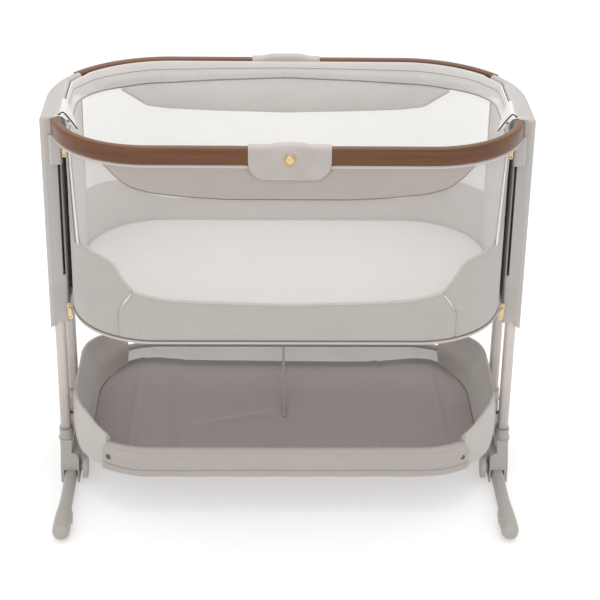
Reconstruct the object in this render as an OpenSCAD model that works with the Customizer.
/* [Bed] */
// Outside length of the top rim
rim_length = 933; // [920:1:945]
// Outside depth of the top rim
rim_depth = 520; // [505:1:535]
// Height of the rim's top edge above the floor
rim_top = 791; // [785:1:800]
// Height of the wooden rail section
rail_tall = 34; // [30:1:36]
// Thickness of the wooden rail section
rail_thick = 18; // [16:1:20]
// Plan radius of the back corners of the rim
back_radius = 235; // [220:1:240]
// Plan radius of the front rail's corners
front_radius = 190; // [180:1:200]
// Height of the bed's bottom edge above the floor
bed_bottom = 397; // [390:1:404]
// Outside length of the fabric walls
wall_length = 844; // [838:1:845]
// Outside depth of the fabric walls
wall_depth = 496; // [486:1:498]
// Plan radius of the fabric walls' corners
wall_radius = 176; // [165:1:185]
// Height of the lower fabric wall's top edge
lower_wall_top = 470; // [460:1:480]
// Thickness of the mattress
mattress_thick = 33; // [25:1:38]

/* [Side columns] */
// Width of a side column
column_width = 39; // [39:0.5:42]
// Depth of a side column
column_depth = 200; // [200:1:204]
// Lowest point of a column's end cap
column_low = 346; // [340:1:352]
// Height of the seam between a column and its end cap
column_seam = 440; // [430:1:450]

/* [Stand] */
// Distance of a leg tube's centre from the middle of the bed
leg_x = 448; // [447.5:0.1:448.5]
// Distance of a leg tube's centre from the long centre line
leg_y = 82; // [82:0.1:82.5]
// Height of the leg tubes' top ends
leg_top = 640; // [636:1:650]
// Distance of a foot bar from the middle of the bed
foot_x = 438; // [436:1:440]
// How far each foot reaches from the long centre line
foot_reach = 340; // [325:1:345]
// Outside length of the storage basket
basket_length = 866; // [850:1:868]
// Outside depth of the storage basket
basket_depth = 476; // [460:1:480]

/* [Motion] */
// Travel of the front rail from the raised to the lowered position
rail_drop = 223; // [200:1:224]
// Distance between two neighbouring height positions
height_step = 53.75; // [50:0.25:54]

/* [Hidden] */
$fn = 48;
e = 0.01;                  // small overlap for clean cuts

BEIGE = [0.74, 0.71, 0.68];
LIGHT_BEIGE = [0.80, 0.77, 0.74];
WOOD = [0.48, 0.29, 0.19];
CLOTH = [0.72, 0.68, 0.65];
NET = [0.88, 0.87, 0.86];
TAUPE = [0.50, 0.47, 0.44];
WHITE = [0.92, 0.91, 0.90];
BRASS = [0.80, 0.66, 0.40];
STEEL = [0.66, 0.67, 0.68];
DARK = [0.20, 0.19, 0.18];

rim_x = rim_length / 2;
rim_y = rim_depth / 2;
rail_low = rim_top - rail_tall;
wall_x = wall_length / 2;
wall_y = wall_depth / 2;
column_in = rim_x - column_width;
column_y = column_depth / 2;
arm_angle = 34;            // where the beige arm hands over to the wooden back rail
rail_x = rim_x - 15.5;     // the front rail's ends stop in front of the columns
rail_gap = 0.5;            // air between parts of different bodies

// The rail's slide track, in the inner front corner of each column
track_x = column_in + 5.1; // middle of the track
track_low = 468;
track_high = rail_low + 28;
latch_z = rim_top - 13;    // height of the latch pins
latch_r = 1.2;             // radius of the latch pins

// Leg tube section
tube_w = 20;
tube_d = 28;
tube_wall = 1.5;

// Height lock
lock_z = 460;
lock_pin_r = 3;
button_z = 500;
height_stops = [-height_step, 0, height_step, 2 * height_step, 3 * height_step];

// Feet
pad = 4;                   // thickness of the rubber pads under the feet
bar_w = 26;
bar_tall = 28;
foot_cap_w = 33;
foot_cap_start = 225;
foot_slide = 75;
sleeve_end = 125;
knob_y = 102;
knob_z = 29.5;

// Basket
basket_x = basket_length / 2;
basket_y = basket_depth / 2;
basket_radius = 168;
basket_low = 88;
basket_front_top = 148;
basket_end_top = 198;
basket_ring_z = 141;

// Zip sliders beside the columns
zip_x = wall_x - 1.3;
zip_y = -column_y - 4;

// ---- shapes used by many parts ----

// Rectangle with four equally rounded corners
module rounded(x0, x1, y0, y1, r) {
    translate([x0 + r, y0]) square([x1 - x0 - 2 * r, y1 - y0]);
    translate([x0, y0 + r]) square([x1 - x0, y1 - y0 - 2 * r]);
    for (x = [x0 + r, x1 - r], y = [y0 + r, y1 - r]) translate([x, y]) circle(r);
}

// Rounded outline about the centre
module outline(x, y, r) {
    rounded(-x, x, -y, y, r);
}

// Closed strip of even width inside a rounded outline
module outline_ring(x, y, r, t) {
    difference() {
        outline(x, y, r);
        outline(x - t, y - t, r - t);
    }
}

// The left-hand twin of a right-hand shape, or the shape itself
module on_side(side) {
    mirror([side < 0 ? 1 : 0, 0, 0]) children();
}

// The front twin of a shape at the back, or the shape itself
module facing(direction) {
    mirror([0, direction < 0 ? 1 : 0, 0]) children();
}

// What a round of radius r takes away from a corner at the origin
module round_cut(r) {
    difference() {
        translate([-r, -r]) square(r + 2);
        translate([-r, -r]) circle(r);
    }
}

// Extrusion between two heights
module tall(z0, z1) {
    translate([0, 0, z0]) linear_extrude(z1 - z0) children();
}

// Extrusion of an X-Z outline between two depths
module deep(y0, y1) {
    translate([0, y1, 0]) rotate([90, 0, 0]) linear_extrude(y1 - y0) children();
}

// Extrusion of a Y-Z outline between two positions along the bed
module along(x0, x1) {
    translate([x0, 0, 0]) rotate([90, 0, 90]) linear_extrude(x1 - x0) children();
}

// Cylinder along X
module pin_x(x0, x1, y, z, r) {
    translate([x0, y, z]) rotate([0, 90, 0]) cylinder(h = x1 - x0, r = r);
}

// Cylinder along Y
module pin_y(y0, y1, x, z, r) {
    translate([x, y1, z]) rotate([90, 0, 0]) cylinder(h = y1 - y0, r = r);
}

// Part turn of a section about a corner centre
module bend(a0, a1) {
    rotate([0, 0, a0]) rotate_extrude(angle = a1 - a0, $fn = 128) children();
}

// A bent tube that follows a rounded outline
module tube_ring(x, y, r, z, tube_r) {
    translate([0, 0, z]) {
        for (sx = [0, 1], sy = [0, 1]) mirror([sx, 0, 0]) mirror([0, sy, 0])
            translate([x - r, y - r, 0]) bend(0, 90) translate([r, 0]) circle(tube_r);
        for (sy = [-1, 1]) pin_x(r - x, x - r, sy * y, 0, tube_r);
        for (sx = [-1, 1]) pin_y(r - y, y - r, sx * x, 0, tube_r);
    }
}

// Section of the wooden rail, its outer face at the given distance
module rail_section(outer, grow = 0) {
    rounded(outer - rail_thick - grow, outer + grow, rail_low - grow, rim_top + grow, 6);
}

// ---- stand ----

module leg_outline(y) {
    difference() {
        rounded(leg_x - tube_w / 2, leg_x + tube_w / 2, y - tube_d / 2, y + tube_d / 2, 7);
        rounded(leg_x - tube_w / 2 + tube_wall, leg_x + tube_w / 2 - tube_wall,
            y - tube_d / 2 + tube_wall, y + tube_d / 2 - tube_wall, 5.5);
    }
}

module leg_tube(side, y, slot_y) {
    color(BEIGE) on_side(side) difference() {
        tall(60, leg_top) leg_outline(y);
        // slot for the lock's pin, wider at every height position
        translate([leg_x - tube_w / 2 - 1, slot_y - lock_pin_r - 0.4, lock_z + height_stops[0]])
            cube([tube_w / 2, 2 * lock_pin_r + 0.8, 4 * height_step]);
        for (h = height_stops)
            pin_x(leg_x - tube_w / 2 - 1, leg_x, slot_y, lock_z + h, lock_pin_r + 1.6);
        pin_x(leg_x - tube_w, leg_x + tube_w, y, 86, 2.7);
    }
}

// Y-Z outline of a foot housing: two tube sockets, a low bridge and a sleeve underneath
module housing_outline() {
    for (m = [0, 1]) mirror([m, 0]) polygon([
        [0, pad], [sleeve_end, pad], [sleeve_end, 38], [sleeve_end - 6, 56],
        [leg_y + 20, 92], [leg_y + 19, 112], [leg_y - 19, 112], [leg_y - 24, 92], [58, 72], [0, 62],
    ]);
}

module foot_housing(side) {
    color(BEIGE) on_side(side) difference() {
        union() {
            along(leg_x - 12, leg_x + 10) intersection() {
                housing_outline();
                translate([-200, 0]) square([400, 90]);
            }
            for (y = [-leg_y, leg_y])
                tall(40, 112) rounded(leg_x - 14, leg_x + 13, y - 19, y + 19, 13);
            intersection() {
                along(foot_x - 18, foot_x + 18) housing_outline();
                deep(-200, 200) rounded(foot_x - 17, foot_x + 17, -30, 66, 13);
            }
        }
        // the foot bars' sleeve, open at both ends and underneath
        translate([foot_x - bar_w / 2 - rail_gap, -200, -e])
            cube([bar_w + 2 * rail_gap, 400, pad + bar_tall + rail_gap]);
        for (y = [-leg_y, leg_y]) {
            tall(58, 120) rounded(leg_x - tube_w / 2 - 0.3, leg_x + tube_w / 2 + 0.3,
                y - tube_d / 2 - 0.3, y + tube_d / 2 + 0.3, 7.3);
            pin_x(leg_x - 30, leg_x + 30, y, 86, 2.7);
        }
        // seat of the foot lock's plunger and its spring
        pin_x(foot_x - 30, foot_x, -knob_y, knob_z - 6, 3.4);
    }
}

// Foot bar with a wider, rounded tip, pointing to the back (1) or to the front (-1)
module foot(side, direction, inner_end) {
    start = foot_cap_start;
    on_side(side) facing(direction) difference() {
        union() {
            deep(inner_end, start + 20)
                rounded(foot_x - bar_w / 2, foot_x + bar_w / 2, pad, pad + bar_tall, 8);
            tall(pad, pad + bar_tall + 1.5) {
                polygon([
                    [foot_x - bar_w / 2, start], [foot_x + bar_w / 2, start],
                    [foot_x + foot_cap_w / 2, foot_reach - foot_cap_w / 2],
                    [foot_x - foot_cap_w / 2, foot_reach - foot_cap_w / 2],
                ]);
                translate([foot_x, foot_reach - foot_cap_w / 2]) circle(foot_cap_w / 2);
            }
            // stepped ribs on the inner side of the cap
            for (i = [0 : 2]) translate([foot_x - foot_cap_w / 2 - 3, 262 + 11 * i, pad + 8])
                cube([4, 6, 20 - 5 * i]);
        }
        // slot for the foot lock's pin, wider at both ends
        if (direction < 0) {
            translate([foot_x - 20, knob_y, knob_z - 9.4]) cube([28 - bar_w / 2, foot_slide, 6.8]);
            for (y = [knob_y, knob_y + foot_slide])
                pin_x(foot_x - 20, foot_x - bar_w / 2 + 8, y, knob_z - 6, 4.4);
        }
        translate([foot_x - 11, foot_reach - 62, -e]) cube([22, 40, pad + 1.5]);
    }
}

module foot_pad(side, direction) {
    on_side(side) facing(direction)
        tall(0, pad + 1.4) rounded(foot_x - 10.8, foot_x + 10.8, foot_reach - 61.8, foot_reach - 22.2, 4);
}

module knob(side) {
    color(BEIGE) on_side(side) {
        pin_x(foot_x - 33, foot_x - 24, -knob_y, knob_z, 25);
        pin_x(foot_x - 24, foot_x - 18, -knob_y, knob_z, 9);
        pin_x(foot_x - 24, foot_x - bar_w / 2 + 5, -knob_y, knob_z - 6, 2.9);
    }
}

// A short compression spring along X, drawn as its separate turns
module spring(x0, x1, y, z, r, wire, turns) {
    step = (x1 - x0 - 2 * wire) / (turns - 1);
    for (i = [0 : turns - 1]) translate([x0 + wire + i * step, y, z]) rotate([0, 90, 0])
        rotate_extrude() translate([r, 0]) circle(wire);
}

module leg_bolts() {
    color(STEEL) for (side = [-1, 1], y = [-leg_y, leg_y]) on_side(side) {
        pin_x(leg_x - 14.8, leg_x + 15, y, 86, 2.5);
        pin_x(leg_x + 13.1, leg_x + 15.5, y, 86, 5);
    }
}

// ---- basket ----

module basket_frame() {
    color(STEEL) {
        tube_ring(basket_x - 13, basket_y - 13, basket_radius - 13, basket_ring_z, 5);
        for (side = [-1, 1], y = [-leg_y + 8, leg_y - 8]) on_side(side)
            pin_x(basket_x - 13, leg_x - tube_w / 2, y, basket_ring_z, 4);
    }
}

// Front and back walls are low, the two end walls are tall
module basket() {
    ramp_in = 352;
    ramp_out = 398;
    color(TAUPE) difference() {
        union() {
            tall(basket_low, basket_low + 6) outline(basket_x, basket_y, basket_radius);
            intersection() {
                tall(basket_low, basket_end_top) outline_ring(basket_x, basket_y, basket_radius, 6);
                deep(-300, 300) polygon([
                    [-500, 0], [500, 0], [500, basket_end_top], [ramp_out, basket_end_top],
                    [ramp_in, basket_front_top], [-ramp_in, basket_front_top],
                    [-ramp_out, basket_end_top], [-500, basket_end_top],
                ]);
            }
        }
        for (side = [-1, 1], y = [-leg_y + 8, leg_y - 8]) on_side(side)
            pin_x(basket_x - 20, basket_x + 20, y, basket_ring_z, 4.5);
    }
}

// Webbing from the back of the basket's frame to the middle of its floor
module basket_strap() {
    color(CLOTH) along(-3, 3) polygon([
        [basket_y - 21.5, basket_ring_z - 3], [basket_y - 21, basket_ring_z - 4.2],
        [2, basket_low + 6.2], [-16, basket_low + 6.2], [-16, basket_low + 7.4], [1.5, basket_low + 7.4],
    ]);
}

module basket_snaps() {
    color(DARK) for (side = [-1, 1]) on_side(side)
        translate([basket_x - 80, -basket_y + 20.2, 118]) rotate([90, 0, 31]) cylinder(h = 4, r = 4);
}

// ---- side columns ----

module column_plan() {
    rounded(column_in + 3, rim_x, -column_y, column_y, 14);
    rounded(column_in, column_in + 20, -column_y, column_y, 4);
}

module tube_space(y, gap, r) {
    rounded(leg_x - tube_w / 2 - gap, leg_x + tube_w / 2 + gap,
        y - tube_d / 2 - gap, y + tube_d / 2 + gap, r);
}

module track_pocket() {
    translate([track_x - 4, -column_y + 2]) square([8, 14]);
    translate([track_x - 2.6, -column_y - 1]) square([5.2, 4]);
}

module column(side) {
    color(BEIGE) on_side(side) difference() {
        tall(column_seam, rail_low - 2) column_plan();
        for (y = [-leg_y, leg_y]) tall(column_seam - 1, rail_low - 20) tube_space(y, 0.4, 7.4);
        tall(track_low - 4, rim_top) track_pocket();
        // room for the lock plate on the inner side of the tubes
        translate([column_in + 1.5, -leg_y, lock_z - 15]) cube([9.8, 2 * leg_y + 12, 75]);
        // room for the height button, and its window in the outer wall
        translate([column_in + 14, -58, column_seam + 8]) cube([18, 116, 260]);
        pin_x(column_in + 5, column_in + 20, 0, button_z, 6.4);
        along(rim_x - 8, rim_x + 2) rounded(-23, 23, button_z - 21, button_z + 21, 12);
        for (y = [0, 40]) tall(rail_low - 15, rail_low) translate([leg_x + 9, y]) circle(3.9);
        // seam between the outer skin and the front panel
        translate([rim_x - 11.4, -column_y - 1, column_seam - 1]) cube([1, 1.8, 400]);
    }
}

module column_cap(side) {
    color(BEIGE) on_side(side) difference() {
        tall(column_low, column_seam) column_plan();
        for (y = [-leg_y, leg_y]) tall(column_low - 1, column_seam + 1) tube_space(y, 2, 8);
        translate([column_in + 8, -54, column_low - 1]) cube([24, 108, 80]);
        // the underside slopes up towards the bed
        deep(-150, 150) polygon([
            [column_in - 5, column_low - 5], [rim_x - 4, column_low - 5], [rim_x - 4, column_low],
            [rim_x - 16, column_low + 15], [column_in - 5, column_low + 15],
        ]);
        for (y = [-30, 30]) pin_x(column_in - 5, column_in + 10, y, bed_bottom + 12, 5.2);
    }
}

module bushes(side) {
    color(DARK) on_side(side) for (y = [-leg_y, leg_y]) tall(column_low + 17, column_low + 47)
        difference() {
            tube_space(y, 1.8, 7.8);
            tube_space(y, 0.3, 7.3);
        }
}

// The channel that the rail's slider runs in
module track(side) {
    color(DARK) on_side(side) tall(track_low, track_high) difference() {
        union() {
            translate([track_x - 3.8, -column_y + 2.2]) square([7.6, 13.6]);
            translate([track_x - 2.4, -column_y + 0.1]) square([4.8, 4]);
        }
        translate([track_x - 2.6, -column_y + 3.4]) square([5.2, 11.2]);
        translate([track_x - 1.6, -column_y - 1]) square([3.2, 6]);
    }
}

module height_button(side) {
    color(LIGHT_BEIGE) on_side(side) {
        along(rim_x - 7, rim_x + 1.5) rounded(-22.5, 22.5, button_z - 20.5, button_z + 20.5, 11.5);
        pin_x(column_in + 8.6, rim_x - 7, 0, button_z, 6);
    }
}

module lock_plate(side) {
    color(STEEL) on_side(side) {
        translate([column_in + 6, -leg_y + 2, lock_z - 9]) cube([2.6, 2 * leg_y + 6, 50]);
        for (y = [-leg_y + 6, leg_y]) pin_x(column_in + 8.6, leg_x - 6.5, y, lock_z, lock_pin_r);
    }
}

// ---- rim ----

// The top of a column, rounded over at the front, and the arm round the corner of the rim
module arm(side) {
    color(BEIGE) on_side(side) difference() {
        union() {
            tall(rail_low - 2, rim_top) intersection() {
                column_plan();
                union() {
                    translate([rim_x - 100, -column_y - 5])
                        square([100, rim_y - back_radius + column_y + 5]);
                    translate([rim_x - back_radius, rim_y - back_radius]) circle(back_radius, $fn = 96);
                }
            }
            translate([rim_x - back_radius, rim_y - back_radius, 0]) bend(0, arm_angle)
                rounded(back_radius - 22, back_radius, rail_low, rim_top, 7);
        }
        // rounds along the top: outer edge, its bend, inner edge, front end
        deep(-column_y - 5, rim_y - back_radius) translate([rim_x, rim_top]) round_cut(14);
        translate([rim_x - back_radius, rim_y - back_radius, 0]) bend(0, arm_angle + 1)
            translate([back_radius, rim_top]) round_cut(14);
        deep(-column_y - 5, column_y + 5) translate([column_in, rim_top]) mirror([1, 0]) round_cut(7);
        along(0, 500) translate([-column_y, rim_top]) mirror([1, 0]) round_cut(16);
        tall(rail_low - 5, track_high + 2) track_pocket();
        // two notches of the rail's socket plate
        translate([leg_x - 9, -column_y - 1, rim_top - 22]) cube([5, 6, 7]);
        translate([leg_x - 3, -column_y - 1, rim_top - 37]) cube([4, 5, 12]);
        translate([leg_x - 11, -column_y - 1, rim_top - 37]) cube([8, 5, 4]);
    }
}

module back_rail() {
    color(WOOD) facing(-1) {
        // each bend starts on the straight length's end face, so that the three lengths join as one
        for (side = [-1, 1]) on_side(side) translate([rim_x - back_radius, back_radius - rim_y, 0])
            bend(-90, -arm_angle - 0.1) rail_section(back_radius);
        facing(-1) along(back_radius - rim_x, rim_x - back_radius) rail_section(rim_y);
    }
}

// X-Z outline of a patch with rounded lower corners
module patch_outline(half, low, high, r) {
    translate([-half, low + r]) square([2 * half, high - low - r]);
    translate([-half + r, low]) square([2 * half - 2 * r, high - low]);
    for (x = [-half + r, half - r]) translate([x, low + r]) circle(r);
}

// Folded leather over a rail: Y-Z section, the outer face towards +Y
module saddle_section(outer, t, inner_low) {
    difference() {
        rounded(outer - rail_thick - t, outer + t, inner_low, rim_top + t, 8);
        rail_section(outer, 0.2);
        translate([outer - rail_thick - 0.2, inner_low - 5])
            square([rail_thick + 0.4, rim_top - inner_low - 5]);
    }
}

module back_patch() {
    color(LIGHT_BEIGE) {
        along(-69, 69) saddle_section(rim_y, 3, rail_low + 2);
        tall(rim_top + 2, rim_top + 8) rounded(-40, 40, rim_y - 19, rim_y + 1, 9);
    }
}

module rail_tab() {
    color(LIGHT_BEIGE) facing(-1) difference() {
        union() {
            along(-75, 75) saddle_section(rim_y, 3, rail_low + 6);
            deep(rim_y + 0.2, rim_y + 3) patch_outline(75, rim_top - 60, rim_top - 8, 33);
            tall(rim_top + 2, rim_top + 7) rounded(-30, 30, rim_y - 19, rim_y + 1, 9);
        }
        pin_y(rim_y - 1, rim_y + 5, 0, rim_top - 21, 10.6);
    }
}

module front_rail() {
    color(WOOD) difference() {
        union() {
            for (side = [-1, 1]) on_side(side) translate([rail_x - front_radius, front_radius - rim_y, 0])
                bend(-90, -11.5) rail_section(front_radius);
            facing(-1) along(front_radius - rail_x, rail_x - front_radius) rail_section(rim_y);
        }
        pin_y(-rim_y - 1, -rim_y + 12, 0, rim_top - 21, 6.6);
        for (side = [-1, 1]) on_side(side)
            pin_y(-column_y - 14, -column_y, track_x, latch_z, latch_r + 0.4);
    }
}

module rail_button() {
    color(BRASS) {
        pin_y(-rim_y - 7.5, -rim_y - 4.2, 0, rim_top - 21, 10);
        pin_y(-rim_y - 4.2, -rim_y + 6, 0, rim_top - 21, 6);
    }
}

// End bracket of the rail: a plate behind the rail's end, a collar under it and a tongue in the track
module rail_slider(side) {
    front = -column_y - rail_gap;
    color(BEIGE) on_side(side) difference() {
        union() {
            deep(front - 3.6, front) rounded(column_in + 1, rail_x - 1, rim_top - 92, rim_top - 1, 5);
            tall(rim_top - 92, rail_low - 0.05)
                rounded(column_in - 3.2, column_in + 20.8, front - 12, front, 5);
            tall(rim_top - 92, rim_top - 17) {
                translate([track_x - 1.3, front - 1]) square([2.6, 8]);
                translate([track_x - 2.2, -column_y + 3.8]) square([4.4, 10.4]);
            }
        }
        pin_y(-column_y - 30, -column_y + 5, track_x, latch_z, latch_r + 0.4);
    }
}

// The latch's tip reaches into the track above the slider's tongue
module latch_pin(side) {
    color(STEEL) on_side(side) pin_y(-column_y - 5.4, -column_y + 3, track_x, latch_z, latch_r);
}

module rail_apron() {
    color(CLOTH) intersection() {
        tall(rail_low - 68, rail_low - 0.5) difference() {
            outline_ring(rail_x - 2, rim_y - 2, front_radius - 2, 7);
            translate([-500, -120]) square([1000, 500]);
        }
        deep(-300, -100) polygon([
            [-342, rim_top], [-268, rail_low - 80],
            [268, rail_low - 80], [342, rim_top]
        ]);
    }
}

// ---- fabric, mattress and base ----

module wall_strip(t) {
    outline_ring(wall_x, wall_y, wall_radius, t);
}

module lower_wall() {
    color(CLOTH) difference() {
        union() {
            tall(bed_bottom, lower_wall_top) wall_strip(4);
            tall(bed_bottom, bed_bottom + 2) outline(wall_x - 1, wall_y - 1, wall_radius - 1);
        }
        for (side = [-1, 1], y = [-30, 30]) on_side(side)
            pin_x(wall_x - 10, wall_x + 5, y, bed_bottom + 12, 5.5);
    }
}

module upper_wall() {
    color(NET) tall(lower_wall_top + 0.1, rail_low - 3) difference() {
        wall_strip(4);
        translate([-500, -500]) square([1000, 500 + zip_y + 6]);
    }
}

module front_mesh() {
    color(NET) tall(lower_wall_top + 0.1, rail_low - 3) intersection() {
        wall_strip(2);
        translate([-500, -500]) square([1000, 500 + zip_y - 7]);
    }
}

module base_frame() {
    color(STEEL) {
        tube_ring(wall_x - 11, wall_y - 11, wall_radius - 11, bed_bottom + 12, 6);
        for (side = [-1, 1], y = [-30, 30]) on_side(side)
            pin_x(wall_x - 11, column_in + 7, y, bed_bottom + 12, 4.9);
    }
}

module base_board() {
    color(TAUPE) tall(bed_bottom + 2.5, bed_bottom + 6) outline(wall_x - 19, wall_y - 19, wall_radius - 19);
}

module mattress() {
    color(WHITE) tall(bed_bottom + 6.5, bed_bottom + 6.5 + mattress_thick)
        outline(wall_x - 18, wall_y - 18, wall_radius - 18);
}

// ---- fasteners and zips ----

module arm_screws() {
    color(STEEL) for (side = [-1, 1], y = [0, 40]) on_side(side) tall(rail_low - 14, rail_low - 2.2)
        translate([leg_x + 9, y]) circle(3.5);
}

module zip_slider(side) {
    color(BRASS) on_side(side) translate([zip_x - 3, zip_y - 5, rail_low - 22]) cube([5, 9, 13]);
}

module zip_pull(side) {
    color(BRASS) on_side(side) difference() {
        translate([zip_x - 1.6, zip_y - 7.2, rail_low - 44]) cube([2.8, 1.6, 25.4]);
        pin_x(zip_x - 3, zip_x + 3, zip_y - 6.4, rail_low - 19.5, 0.5);
    }
}

module base_zips() {
    color(BRASS) for (side = [-1, 1]) on_side(side) {
        translate([wall_x + 0.4, -column_y - 6, bed_bottom + 4]) cube([4, 5.5, 12]);
        translate([wall_x + 1.2, -column_y - 8, bed_bottom - 18]) cube([2.6, 1.5, 26]);
    }
}

module knob_spring(side) {
    color(STEEL) on_side(side) spring(foot_x - 23.8, foot_x - 17.2, -knob_y, knob_z + 14, 2, 0.6, 3);
}

module button_spring(side) {
    color(STEEL) on_side(side) spring(column_in + 14.2, rim_x - 7.4, 0, button_z, 9, 1.1, 5);
}

leg_tube(-1, -leg_y, -leg_y + 6);  // left_front_leg
leg_tube(-1, leg_y, leg_y);  // left_rear_leg
leg_tube(1, -leg_y, -leg_y + 6);  // right_front_leg
leg_tube(1, leg_y, leg_y);  // right_rear_leg
foot_housing(-1);  // left_foot_housing
foot_housing(1);  // right_foot_housing
color(BEIGE) foot(-1, 1, 70);  // left_rear_foot
color(BEIGE) foot(1, 1, 70);  // right_rear_foot
color(DARK) { foot_pad(-1, 1); foot_pad(1, 1); }  // rear_foot_pads
leg_bolts();
basket_frame();
basket();
basket_strap();
basket_snaps();
color(BEIGE) foot(-1, -1, 20);  // left_front_foot
color(BEIGE) foot(1, -1, 20);  // right_front_foot
color(DARK) foot_pad(-1, -1);  // left_front_pad
color(DARK) foot_pad(1, -1);  // right_front_pad
knob(-1);  // left_foot_knob
knob(1);  // right_foot_knob
knob_spring(-1);  // left_knob_spring
knob_spring(1);  // right_knob_spring
column(-1);  // left_column
column(1);  // right_column
column_cap(-1);  // left_column_cap
column_cap(1);  // right_column_cap
arm(-1);  // left_arm
arm(1);  // right_arm
track(-1);  // left_track
track(1);  // right_track
bushes(-1);  // left_bushes
bushes(1);  // right_bushes
arm_screws();
back_rail();
back_patch();
base_frame();
base_board();
mattress();
lower_wall();
upper_wall();
front_mesh();
height_button(-1);  // left_height_button
height_button(1);  // right_height_button
lock_plate(-1);  // left_lock_plate
lock_plate(1);  // right_lock_plate
button_spring(-1);  // left_button_spring
button_spring(1);  // right_button_spring
front_rail();
rail_slider(-1);  // left_rail_slider
rail_slider(1);  // right_rail_slider
rail_tab();
rail_apron();
rail_button();
latch_pin(-1);  // left_latch_pin
latch_pin(1);  // right_latch_pin
zip_slider(-1);  // left_zip_slider
zip_slider(1);  // right_zip_slider
zip_pull(-1);  // left_zip_pull
zip_pull(1);  // right_zip_pull
base_zips();
